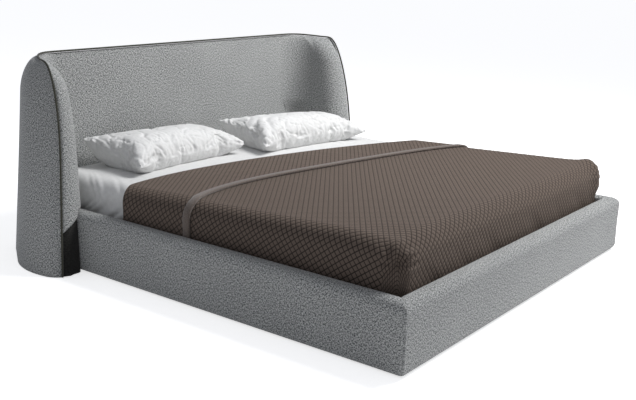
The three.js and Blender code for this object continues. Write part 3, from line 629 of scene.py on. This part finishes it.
def over_block(s, t, half, foot, head, top, radius, squareness=6.0):
    """Lays cloth over a rounded block: (s, t) on the flat cloth becomes a point and a normal.

    Past an edge the cloth turns down round it and hangs; at a corner it is eased round.
    """
    s, t = np.broadcast_arrays(np.asarray(s, float), np.asarray(t, float))
    flat_x = np.clip(s, radius - half, half - radius)
    flat_y = np.clip(t, foot + radius, head - radius)
    over_x, over_y = s - flat_x, t - flat_y
    size = np.hypot(over_x, over_y)
    safe = np.maximum(size, 1e-9)
    way_x, way_y = over_x / safe, over_y / safe
    down = (np.abs(over_x) ** squareness + np.abs(over_y) ** squareness) ** (1 / squareness)
    angle = np.minimum(down / radius, math.pi / 2)
    hang = np.maximum(down - radius * math.pi / 2, 0)
    reach = radius * np.sin(angle)
    points = np.stack([flat_x + way_x * reach, flat_y + way_y * reach,
                       top - radius * (1 - np.cos(angle)) - hang], -1)
    normals = np.stack([way_x * np.sin(angle), way_y * np.sin(angle), np.cos(angle)], -1)
    return points, normals, hang


def block_loops(half, foot, head, low, high, radius, steps=10):
    """A closed rounded block as a stack of rounded outlines."""
    loops = []
    def outline(inset, z):
        corner = max(radius - inset, 0.002)
        points = []
        for centre_x, centre_y, start in ((half - inset - corner, head - inset - corner, 0),
                                          (inset + corner - half, head - inset - corner, 90),
                                          (inset + corner - half, foot + inset + corner, 180),
                                          (half - inset - corner, foot + inset + corner, 270)):
            points.append(arc((centre_x, centre_y), corner, math.radians(start), math.radians(start + 90), 9))
        flat = np.concatenate(points)
        return np.concatenate([flat, np.full((len(flat), 1), z)], 1)
    for angle in np.linspace(0, math.pi / 2, steps):
        loops.append(outline(radius * (1 - math.sin(angle)), low + radius * (1 - math.cos(angle))))
    for angle in np.linspace(math.pi / 2, 0, steps):
        loops.append(outline(radius * (1 - math.sin(angle)), high - radius * (1 - math.cos(angle))))
    return np.array(loops)


loops = block_loops(MATTRESS_HALF, MATTRESS_FOOT, MATTRESS_HEAD, MATTRESS_LOW, MATTRESS_HIGH, EDGE_ROUND)
rows, columns = loops.shape[:2]
faces = grid_faces(rows, columns, wrap_columns=True)
faces += [tuple(range(columns))[::-1], tuple((rows - 1) * columns + k for k in range(columns))]
uv = np.stack([along_grid(loops, 1), loops[:, :, 2]], 2).reshape(-1, 2)
mattress = mesh_piece("mattress_foam", loops.reshape(-1, 3), faces, uv)
face_outwards(mattress)
ticking = melange_cloth("knitted_ticking", "#d9d9d6", "#f0f0ee", 0.1)
mattress.data.materials.append(ticking)
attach(mattress, "mattress")
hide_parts("mattress")

# ---------------------------------------------------------------- fitted sheet
# White cotton percale with an elastic hem, pulled over the mattress. It is a little loose, so
# that soft upright folds hang down the sides near the head, fading where the top pulls it flat.

SHEET_TOP = 0.4010
SHEET_HALF = MATTRESS_HALF + 0.003
SHEET_HEM_Z = 0.2095
SHEET_STEP = 0.009


def cotton(name, shade_low="#cdcdcc", shade_high="#e2e2e1"):
    """Cotton percale: matt white, with a weave too fine to show and the faintest slub."""
    material, tree, shader = material_of(name, 0.85, 0.25, 0.15)
    place = node(tree, "ShaderNodeTexCoord").outputs["Object"]
    slub = node(tree, "ShaderNodeTexNoise", Vector=place, Scale=60.0, Detail=3.0).outputs["Fac"]
    colour = node(tree, "ShaderNodeMix", {"data_type": "RGBA"}, Factor=slub)
    colour.inputs[6].default_value = srgb(shade_low)
    colour.inputs[7].default_value = srgb(shade_high)
    tree.links.new(colour.outputs[2], shader.inputs["Base Color"])
    fine = node(tree, "ShaderNodeTexNoise", Vector=place, Scale=900.0, Detail=1.0).outputs["Fac"]
    bump = node(tree, "ShaderNodeBump", Strength=0.15, Distance=0.0004, Height=fine)
    tree.links.new(bump.outputs["Normal"], shader.inputs["Normal"])
    return material


def waves(position, seed, lengths):
    """A sum of smooth waves of given lengths in metres, with phases fixed by a seed."""
    phases = np.random.default_rng(seed).uniform(0, 2 * math.pi, len(lengths))
    return sum(np.sin(2 * math.pi * position / length + phase)
               for length, phase in zip(lengths, phases)) / len(lengths)


sheet_drop = EDGE_ROUND * math.pi / 2 + SHEET_TOP - EDGE_ROUND - SHEET_HEM_Z
s_reach = SHEET_HALF - EDGE_ROUND + sheet_drop
t_low = MATTRESS_FOOT - 0.003 + EDGE_ROUND - sheet_drop
t_high = MATTRESS_HEAD + 0.0025 - EDGE_ROUND + sheet_drop
sheet_s = np.linspace(-s_reach, s_reach, int(2 * s_reach / SHEET_STEP))
sheet_t = np.linspace(t_low, t_high, int((t_high - t_low) / SHEET_STEP))
grid_s, grid_t = np.meshgrid(sheet_s, sheet_t)
points, normals, hang = over_block(grid_s, grid_t, SHEET_HALF, MATTRESS_FOOT - 0.003, MATTRESS_HEAD + 0.0025,
                                   SHEET_TOP, EDGE_ROUND)
beside = smooth(np.abs(grid_s), SHEET_HALF - 0.16, SHEET_HALF + 0.02)
beside *= smooth(grid_t, 0.05, 0.36) * (1 - smooth(grid_t, 0.80, 0.89))
sway = grid_t - 0.30 * smooth(SHEET_HALF - np.abs(grid_s), -0.06, 0.22) - 0.16 * smooth(hang, 0, 0.16)
folds = np.abs(np.sin(math.pi * sway / 0.078 + 1.5 * waves(sway, 4, (0.27, 0.16)))) ** 0.8
lift = 0.017 * beside * (0.35 + 0.65 * smooth(hang, 0.0, 0.08)) * folds
over_top = 0.0022 * (1 - beside) * waves(grid_t + 0.6 * grid_s, 9, (0.21, 0.33)) * smooth(grid_t, 0.1, 0.3)
points = points + normals * (lift + np.maximum(over_top, 0))[..., None]
points[..., 2] = np.maximum(points[..., 2], SHEET_HEM_Z)
faces = grid_faces(*points.shape[:2])
uv = np.stack([grid_s, grid_t], 2).reshape(-1, 2)
fitted_sheet = mesh_piece("fitted_cotton_sheet", points.reshape(-1, 3), faces, uv)
white_percale = cotton("white_cotton_percale")
fitted_sheet.data.materials.append(white_percale)
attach(fitted_sheet, "mattress")
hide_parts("fitted_sheet")

# ---------------------------------------------------------------- coverlet
# Taupe cotton quilted in small diamonds over thin wadding. It lies over the foot of the bed and
# is tucked in beside the rails; its head end is folded back, and the fold's end is bound.

COVER_TOP, COVER_SLOPE = 0.4215, 0.041     # height halfway along the bed, and its fall towards the head
COVER_HALF, COVER_FOOT = 0.943, -1.0840
COVER_ROUND = 0.075
COVER_HEM_Z = 0.216
COVER_HIGHEST = COVER_TOP - COVER_SLOPE * (COVER_FOOT + COVER_ROUND)
RAIL_TOP = 0.276                           # the coverlet is hidden below this
FLAP_LIFT = 0.0085
QUILT_CELL = 0.0205
QUILT_DEPTH = 0.0018
QUILT_TURN = math.radians(9)               # of the quilting from the bed's own directions
COVER_STEP = 0.0068
FOLD_LINE = [(-0.9, 0.372), (-0.4, 0.396), (0.1, 0.300), (0.5, 0.165), (0.9, -0.035)]
BINDING_LINE = [(-0.9, -0.060), (-0.53, 0.005), (-0.2, -0.040), (0.34, -0.140), (0.74, -0.265), (0.9, -0.330)]
DROP_SLANT = 0.027                         # how far the fold slants footwards down the left drop


def line_at(line, s):
    """Where a line across the bed lies at each place across, as a smooth curve."""
    xs, ys = np.array(line).T
    curve = np.polyfit(xs, ys, 4)
    return np.polyval(curve, np.clip(s, xs[0], xs[-1]))


def quilt_place(s, t):
    """A place on the cloth in the quilting's own directions, which are turned from the bed's."""
    cosine, sine = math.cos(QUILT_TURN), math.sin(QUILT_TURN)
    return s * cosine - t * sine, s * sine + t * cosine


def quilting(s, t):
    """Height of the quilting, from 0 in a stitched groove to 1 in the middle of a diamond."""
    across, along = quilt_place(s, t)
    a = np.abs(np.sin(math.pi * (across + along) / (QUILT_CELL * math.sqrt(2))))
    b = np.abs(np.sin(math.pi * (across - along) / (QUILT_CELL * math.sqrt(2))))
    return np.minimum(a, b) ** 0.6


def cover_point(s, t, lift):
    """A point on the coverlet, with the gathers that its foot corners are tucked into."""
    lying_t = np.maximum(t, COVER_FOOT + COVER_ROUND)
    near_side = smooth(-s, COVER_HALF - 0.26, COVER_HALF - 0.04)
    near_foot = 1 - smooth(lying_t, COVER_FOOT + 0.05, COVER_FOOT + 0.30)
    top = COVER_TOP - COVER_SLOPE * lying_t - 0.012 * near_side * near_foot
    points, normals, hang = over_block(s, t, COVER_HALF, COVER_FOOT, 3.0, top, COVER_ROUND)
    seen = top - COVER_ROUND - RAIL_TOP
    spare = np.maximum(hang - seen, 0)
    room = (RAIL_TOP - COVER_HEM_Z) / (COVER_HIGHEST - COVER_ROUND - COVER_HEM_Z - seen)
    points[..., 2] += spare * (1 - room)
    corner_x = COVER_HALF - 0.028
    corner_y = COVER_FOOT + 0.028
    for side, depth, ray_height, knot in ((-1, 0.020, 0.0055, 0.378), (1, 0.008, 0.0022, 0.405)):
        away = np.sqrt((points[..., 0] - side * corner_x) ** 2 + (points[..., 1] - corner_y) ** 2
                       + (points[..., 2] - knot) ** 2)
        turn = np.arctan2(points[..., 2] - knot, points[..., 1] - corner_y)
        pucker = -depth * np.exp(-(away / 0.028) ** 2)
        rays = ray_height * np.exp(-((away - 0.055) / 0.045) ** 2) * np.sin(7 * turn + side)
        lift = lift + pucker + rays
    beyond = np.hypot(points[..., 0] - corner_x, points[..., 1] - corner_y)
    fullness = 0.017 * np.exp(-(beyond / 0.075) ** 2) * smooth(points[..., 2], 0.285, 0.35)
    lift = lift + fullness
    ease = 0.004 * smooth(hang, 0.0, 0.08) * waves(s + t, 12, (0.31, 0.47, 0.23))
    lift = lift + np.minimum(ease, 0.0)
    return points + normals * np.asarray(lift)[..., None]


cover_drop = COVER_ROUND * math.pi / 2 + COVER_HIGHEST - COVER_ROUND - COVER_HEM_Z
cover_reach = COVER_HALF - COVER_ROUND + cover_drop
cover_s = np.linspace(-cover_reach, cover_reach, int(2 * cover_reach / COVER_STEP))
cover_start = COVER_FOOT + COVER_ROUND - cover_drop
fold_at, binding_at = line_at(FOLD_LINE, cover_s), line_at(BINDING_LINE, cover_s)
fold_at = fold_at - DROP_SLANT * smooth(-cover_s, 0.86, 1.00)
cover_rows = int((fold_at.mean() - cover_start) / COVER_STEP)
flap_rows = int((fold_at - binding_at).mean() / COVER_STEP)
grid = []
flat_place = []
for share in np.linspace(0, 1, cover_rows):
    t = cover_start + (fold_at - cover_start) * share
    puff = QUILT_DEPTH * (quilting(cover_s, t) - 1)
    grid.append(cover_point(cover_s, t, puff))
    flat_place.append(np.stack([cover_s, t], 1))
for turn in np.linspace(0, math.pi, 9)[1:-1]:
    t = fold_at + FLAP_LIFT / 2 * math.sin(turn)
    grid.append(cover_point(cover_s, t, np.full_like(t, FLAP_LIFT / 2 * (1 - math.cos(turn)))))
    flat_place.append(np.stack([cover_s, fold_at + FLAP_LIFT / 2 * turn], 1))
for share in np.linspace(0, 1, flap_rows):
    t = fold_at + (binding_at + 0.006 - fold_at) * share
    puff = QUILT_DEPTH * (quilting(cover_s, t) - 1)
    grid.append(cover_point(cover_s, t, FLAP_LIFT + puff))
    flat_place.append(np.stack([cover_s, t], 1))
grid = np.array(grid)
flat_place = np.array(flat_place).reshape(-1, 2)
coverlet = mesh_piece("quilted_coverlet", grid.reshape(-1, 3), grid_faces(*grid.shape[:2]),
                      np.stack(quilt_place(flat_place[:, 0], flat_place[:, 1]), 1))

taupe, tree, shader = material_of("quilted_taupe_cotton", 0.88, 0.2, 0.35)
place = node(tree, "ShaderNodeUVMap", {"uv_map": "cloth"}).outputs["UV"]
split = node(tree, "ShaderNodeSeparateXYZ", Vector=place)
ridges = []
for operation in ("ADD", "SUBTRACT"):
    diagonal = node(tree, "ShaderNodeMath", {"operation": operation},
                    _0=split.outputs["X"], _1=split.outputs["Y"])
    turns = node(tree, "ShaderNodeMath", {"operation": "MULTIPLY"}, _0=diagonal.outputs[0],
                 _1=math.pi / (QUILT_CELL * math.sqrt(2)))
    wave = node(tree, "ShaderNodeMath", {"operation": "SINE"}, _0=turns.outputs[0])
    ridges.append(node(tree, "ShaderNodeMath", {"operation": "ABSOLUTE"}, _0=wave.outputs[0]).outputs[0])
lower = node(tree, "ShaderNodeMath", {"operation": "MINIMUM"}, _0=ridges[0], _1=ridges[1]).outputs[0]
groove = node(tree, "ShaderNodeMapRange", {"interpolation_type": "SMOOTHSTEP"}, _0=lower, _1=0.05, _2=0.5)
yarns = node(tree, "ShaderNodeTexNoise", Vector=place, Scale=700.0, Detail=2.0).outputs["Fac"]
flecked = node(tree, "ShaderNodeMix", {"data_type": "RGBA"}, Factor=yarns)
flecked.inputs[6].default_value = srgb("#51463f")
flecked.inputs[7].default_value = srgb("#6a5e56")
# Painted shade: each quilting groove is coloured near black across a wide band, on top of the bump and the
# puffed geometry that also shade it.
groove_shade_mix = node(tree, "ShaderNodeMix", {"data_type": "RGBA"}, Factor=groove.outputs[0])
groove_shade_mix.inputs[6].default_value = srgb("#1b1613")
tree.links.new(flecked.outputs[2], groove_shade_mix.inputs[7])
tree.links.new(groove_shade_mix.outputs[2], shader.inputs["Base Color"])
bump = node(tree, "ShaderNodeBump", Strength=0.7, Distance=0.002, Height=lower)
tree.links.new(bump.outputs["Normal"], shader.inputs["Normal"])
shader.inputs["Sheen Tint"].default_value = srgb("#b8a799")
coverlet.data.materials.append(taupe)

binding_grid = []
binding_s = cover_s[::2]
binding_foot = line_at(BINDING_LINE, binding_s)
section = [(0.0010, 0.0010), (-0.0015, 0.0060), (0.0002, 0.0112), (0.0040, 0.0125), (0.0180, 0.0130),
           (0.0320, 0.0125), (0.0356, 0.0112), (0.0362, 0.0090)]
for across, lift in section:
    binding_grid.append(cover_point(binding_s, binding_foot + across, np.full_like(binding_s, lift)))
binding_grid = np.array(binding_grid)
girth = np.array([across for across, _ in section])[:, None].repeat(len(binding_s), 1)
binding_uv = np.stack([binding_s[None, :].repeat(len(section), 0), girth], 2).reshape(-1, 2)
binding_faces = grid_faces(*binding_grid.shape[:2])
binding = mesh_piece("fold_binding", binding_grid.reshape(-1, 3), binding_faces, binding_uv)
binding_cloth = melange_cloth("flat_woven_binding", "#574d47", "#70665f", 0.35)
binding.data.materials.append(binding_cloth)
for piece, cad_name, slot_name in ((coverlet, "coverlet", "quilted_coverlet"),
                                   (binding, "coverlet_binding", "binding_cloth")):
    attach(piece, "mattress")
    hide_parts(cad_name)

# ---------------------------------------------------------------- pillows
# White cotton cases on soft stuffed pillows. Each case is two flat panels sewn round the edge, so
# that when it is filled the seam puckers and the corners are drawn out into points.

PILLOW_WIDE, PILLOW_DEEP, PILLOW_TALL = 0.766, 0.405, 0.165
PILLOW_FRONT_SEAM, PILLOW_BACK_SEAM = 0.050, 0.122
PILLOW_LEAN = 0.10             # how much fuller the left end is than the middle
PILLOW_COLUMNS, PILLOW_ROWS = 116, 66
PILLOW_PLACES = {"left": (-0.362, 0.679, 2.0, 3), "right": (0.455, 0.516, -9.0, 8)}


def flat_case(name, seed):
    """Two panels of cloth sewn together round their edges, a hair apart."""
    across = np.linspace(-PILLOW_WIDE / 2, PILLOW_WIDE / 2, PILLOW_COLUMNS)
    deep = np.linspace(-PILLOW_DEEP / 2, PILLOW_DEEP / 2, PILLOW_ROWS)
    x, y = np.meshgrid(across, deep)
    crown = (1 - (2 * x / PILLOW_WIDE) ** 2) * (1 - (2 * y / PILLOW_DEEP) ** 2)
    noise = np.random.default_rng(seed).normal(0, 0.0006, x.shape)
    inner = crown > 1e-6
    top = np.stack([x, y, 0.03 * np.sqrt(np.maximum(crown, 0)) + noise * inner], 2)
    bottom = top * (1, 1, -1)
    count = x.size
    numbers = np.arange(count).reshape(x.shape)
    lower = np.zeros(inner.shape, int)
    lower[inner] = count + np.arange(inner.sum())
    lower[~inner] = numbers[~inner]
    points = np.concatenate([top.reshape(-1, 3), bottom[inner]])
    faces = []
    for i in range(PILLOW_ROWS - 1):
        for j in range(PILLOW_COLUMNS - 1):
            faces.append((numbers[i, j], numbers[i, j + 1], numbers[i + 1, j + 1], numbers[i + 1, j]))
            faces.append((lower[i + 1, j], lower[i + 1, j + 1], lower[i, j + 1], lower[i, j]))
    faces = [tuple(int(k) for k in face) for face in faces]
    return mesh_piece(name, points, faces, points[:, :2])


def fill_case(piece, frames=26):
    """Blows the case up as stuffing would, and keeps the shape that the cloth takes."""
    cloth = piece.modifiers.new("cloth", "CLOTH")
    settings = cloth.settings
    settings.quality = 6
    settings.mass = 0.15
    settings.tension_stiffness = 25
    settings.compression_stiffness = 25
    settings.shear_stiffness = 8
    settings.bending_stiffness = 0.03
    settings.use_pressure = True
    settings.uniform_pressure_force = 3.0
    settings.shrink_min = -0.08
    settings.effector_weights.gravity = 0.0
    scene = bpy.context.scene
    scene.frame_start, scene.frame_end = 1, frames
    cloth.point_cache.frame_end = frames
    for number in range(1, frames + 1):
        scene.frame_set(number)
    mesh = bpy.data.meshes.new_from_object(piece.evaluated_get(bpy.context.evaluated_depsgraph_get()))
    piece.modifiers.clear()
    piece.data = mesh
    scene.frame_set(1)


def puckers(lay, seed):
    """How far the seams' gathers and the crown's creases move the cloth, by place on the panel."""
    x, y = lay[:, 0], lay[:, 1]
    moved = np.zeros(len(lay))
    for along, across, half_size in ((x, y, PILLOW_DEEP / 2), (y, x, PILLOW_WIDE / 2)):
        for side in (-1, 1):
            inwards = half_size - side * across
            seed += 1
            wander = 0.35 * inwards * waves(along, seed + 40, (0.19,))
            gathers = waves(along + wander, seed, (0.052, 0.034, 0.023))
            moved += 0.0105 * gathers * smooth(inwards, 0.002, 0.016) * np.exp(-inwards / 0.048)
    for angle in (0.35, 1.15, 2.0, 2.75):
        seed += 1
        slanting = x * math.cos(angle) + y * math.sin(angle)
        bent = slanting + 0.018 * waves(x * math.sin(angle) - y * math.cos(angle), seed + 80, (0.21, 0.13))
        crease = (1 - np.abs(waves(bent, seed, (0.17, 0.11)))) ** 9
        patch = smooth(waves(x + y, seed + 20, (0.31, 0.19)) + waves(x - y, seed + 30, (0.23,)), 0.0, 0.8)
        moved -= 0.0085 * crease * patch
    return moved


for side, (x, y, turn, seed) in PILLOW_PLACES.items():
    pillow = flat_case(f"cotton_pillow_{side}", seed)
    lay = np.array([v.co for v in pillow.data.vertices], float)
    fill_case(pillow)
    co = np.array([v.co for v in pillow.data.vertices], float)
    co -= (co.max(0) + co.min(0)) / 2
    half_size = co.max(0)
    co *= np.array([PILLOW_WIDE / 2, PILLOW_DEEP / 2, PILLOW_TALL / 2]) / half_size
    share = (co[:, 1] / PILLOW_DEEP + 0.5).clip(0, 1)
    seam = PILLOW_FRONT_SEAM + (PILLOW_BACK_SEAM - PILLOW_FRONT_SEAM) * share
    z = co[:, 2] / (PILLOW_TALL / 2)
    lean = 1 - PILLOW_LEAN * co[:, 0] / (PILLOW_WIDE / 2)
    co[:, 2] = np.where(z > 0, seam + z * (PILLOW_TALL - seam) * lean, seam * np.maximum(0, 1 + 1.8 * z))
    co[:, 2] *= 1 + (lean - 1) * share
    pillow.data.vertices.foreach_set("co", co.ravel())
    pillow.data.update()
    facing = np.array([v.normal for v in pillow.data.vertices])
    co += facing * np.where(z > 0, puckers(lay, seed), 0)[:, None]
    co[:, 2] = np.clip(co[:, 2], 0, PILLOW_TALL + 0.006)
    rest = SHEET_TOP + 0.0015
    turn_matrix = Matrix.Translation((x, y, rest)) @ Matrix.Rotation(math.radians(turn), 4, "Z")
    for vertex, point in zip(pillow.data.vertices, co):
        vertex.co = turn_matrix @ Vector(point)
    soften = pillow.modifiers.new("fine", "SUBSURF")
    soften.levels = soften.render_levels = 1
    pillow.data.materials.clear()
    pillow.data.materials.append(white_percale)
    pillow.data.polygons.foreach_set("use_smooth", [True] * len(pillow.data.polygons))
    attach(pillow, f"pillow_{side}")
    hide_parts(f"pillow_{side}")

# ---------------------------------------------------------------- floor, light and camera
# A plain pale floor under soft studio light: a broad key above the foot of the bed that faces the
# headboard, a weak low fill from in front, and a pale surround. Floor and surround look white.

scene = bpy.context.scene
scene.view_settings.view_transform = "Standard"
FLOOR_REACH, FLOOR_Z = 40, -0.0015
floor_corners = [(FLOOR_REACH * x, FLOOR_REACH * y, FLOOR_Z) for x, y in ((-1, -1), (1, -1), (1, 1), (-1, 1))]
floor = mesh_piece("studio_floor", floor_corners, [(0, 1, 2, 3)])
paper, tree, shader = material_of("matt_white_paper", 0.95, 0.0)
shader.inputs["Base Color"].default_value = srgb("#fbfbfb")
shader.inputs["Emission Color"].default_value = (1, 1, 1, 1)
seen = node(tree, "ShaderNodeLightPath").outputs["Is Camera Ray"]
glow = node(tree, "ShaderNodeMath", {"operation": "MULTIPLY_ADD"}, _0=seen, _1=0.55, _2=0.10)
tree.links.new(glow.outputs[0], shader.inputs["Emission Strength"])
floor.data.materials.append(paper)

world = bpy.data.worlds.new("studio")
scene.world = world
world.use_nodes = True
tree = world.node_tree
surround = tree.nodes["Background"]
surround.inputs["Color"].default_value = srgb("#f4f7ff")
surround.inputs["Strength"].default_value = 0.36
backdrop = node(tree, "ShaderNodeBackground", Strength=1.0)
backdrop.inputs["Color"].default_value = srgb("#ffffff")
direct = node(tree, "ShaderNodeLightPath").outputs["Is Camera Ray"]
either = node(tree, "ShaderNodeMixShader", _0=direct, _1=surround.outputs[0], _2=backdrop.outputs[0])
tree.links.new(either.outputs[0], tree.nodes["World Output"].inputs["Surface"])


def softbox(name, place, aim, size, watts):
    light = bpy.data.lights.new(name, "AREA")
    light.shape = "DISK"
    light.size = size
    light.energy = watts
    lamp = bpy.data.objects.new(name, light)
    scene.collection.objects.link(lamp)
    lamp.location = place
    lamp.rotation_euler = (Vector(aim) - Vector(place)).to_track_quat("-Z", "Y").to_euler()


softbox("key", (1.25, -1.4, 3.4), (-0.3, 0.9, 0.6), 1.6, 150)
softbox("low_fill", (2.4, -4.4, 1.2), (0.5, -1.1, 0.2), 1.5, 9)

CAMERA_PLACE = Vector((-3.599, -2.714, 1.420))
CAMERA_YAW, CAMERA_PITCH, CAMERA_ROLL = math.radians(53.05), math.radians(14.62), math.radians(1.63)
LENS = 52.93
level_share = math.cos(CAMERA_PITCH)
looking = Vector((math.sin(CAMERA_YAW) * level_share, math.cos(CAMERA_YAW) * level_share,
                  -math.sin(CAMERA_PITCH)))
level_right = looking.cross(Vector((0, 0, 1))).normalized()
level_up = level_right.cross(looking)
right = math.cos(CAMERA_ROLL) * level_right + math.sin(CAMERA_ROLL) * level_up
up = -math.sin(CAMERA_ROLL) * level_right + math.cos(CAMERA_ROLL) * level_up
lens = bpy.data.cameras.new("camera")
lens.lens = LENS
lens.sensor_width = 36.0
camera = bpy.data.objects.new("camera", lens)
scene.collection.objects.link(camera)
axes = Matrix((right, up, -looking)).transposed()
camera.matrix_world = Matrix.Translation(CAMERA_PLACE) @ axes.to_4x4()
scene.camera = camera
